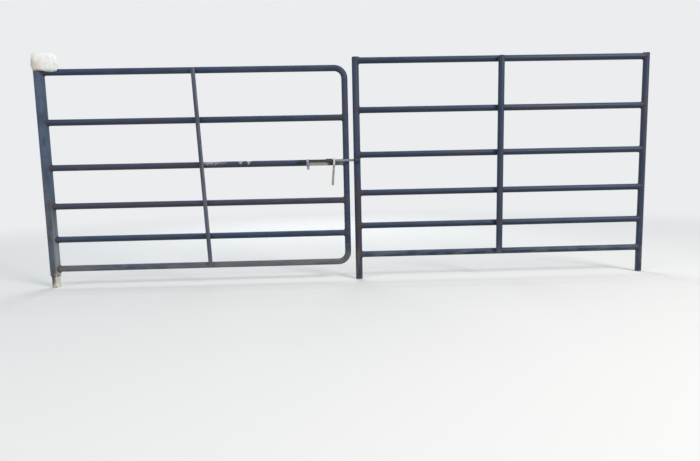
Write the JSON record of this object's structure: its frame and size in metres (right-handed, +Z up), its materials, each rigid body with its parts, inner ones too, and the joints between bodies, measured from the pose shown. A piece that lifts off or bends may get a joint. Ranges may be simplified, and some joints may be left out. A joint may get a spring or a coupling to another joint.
{
  "type": "steel tube gate with slide bolt and side panel",
  "caption": "Six-rail tube gate leaf that turns on a pipe post and shuts with a slide bolt into a keeper on the fixed rail panel beside it.",
  "frame": {"origin": "centre of the underside of the pivot post's foot, which is also on the pivot axis", "axes": "+X along the shut gate towards the side panel, +Y away from the approach side, +Z up the post"},
  "size_m": [3.762, 0.1031, 1.424],
  "materials": {
    "dark_paint": "worn near-black paint on round steel tube, with rubbed edges and light rust",
    "rusty_stile": "dark paint that goes over to red-brown rust at the foot",
    "rusty_foot": "rusted and dusty steel near the ground",
    "worn_brace": "paint rubbed thin to grey steel",
    "bolt_steel": "rubbed bare steel with brown rust in the hollows",
    "handle_steel": "bright zinced steel, rubbed and dulled",
    "wrap_cloth": "sun-bleached cream cotton cloth, bundled"
  },
  "bodies": {
    "root": {"pivot_post": "rusty_foot", "pivot_post_foot": "rusty_foot", "pivot_collar": "rusty_foot", "panel_left_stile": "rusty_stile", "panel_right_stile": "dark_paint", "panel_left_cap": "dark_paint", "panel_right_cap": "dark_paint", "panel_left_foot": "rusty_foot", "panel_right_foot": "rusty_foot", "panel_bottom_rail": "dark_paint", "panel_rail_2": "dark_paint", "panel_rail_3": "dark_paint", "panel_rail_4": "dark_paint", "panel_rail_5": "dark_paint", "panel_top_rail": "dark_paint", "panel_brace": "dark_paint", "bolt_keeper": "dark_paint"},
    "leaf": {"leaf_hinge_sleeve": "dark_paint", "leaf_sleeve_cap": "dark_paint", "leaf_frame_tube": "dark_paint", "leaf_rail_2": "dark_paint", "leaf_rail_3": "dark_paint", "leaf_rail_4": "dark_paint", "leaf_rail_5": "dark_paint", "leaf_brace": "worn_brace", "bolt_guide_lug": "handle_steel", "bolt_guide_tube": "bolt_steel", "corner_wrap": "wrap_cloth"},
    "latch": {"latch_bolt": "bolt_steel", "latch_handle": "handle_steel"}
  },
  "joints": [
    {"name": "leaf_swing", "type": "hinge", "parent": "root", "child": "leaf", "pos_m": [0, 0, 0.08795], "axis": [0, 0, 1], "range_deg": [-120, 0]},
    {"name": "latch_slide", "type": "slide", "parent": "leaf", "child": "latch", "axis": [1, 0, 0], "range_m": [0, 0.045]}
  ]
}
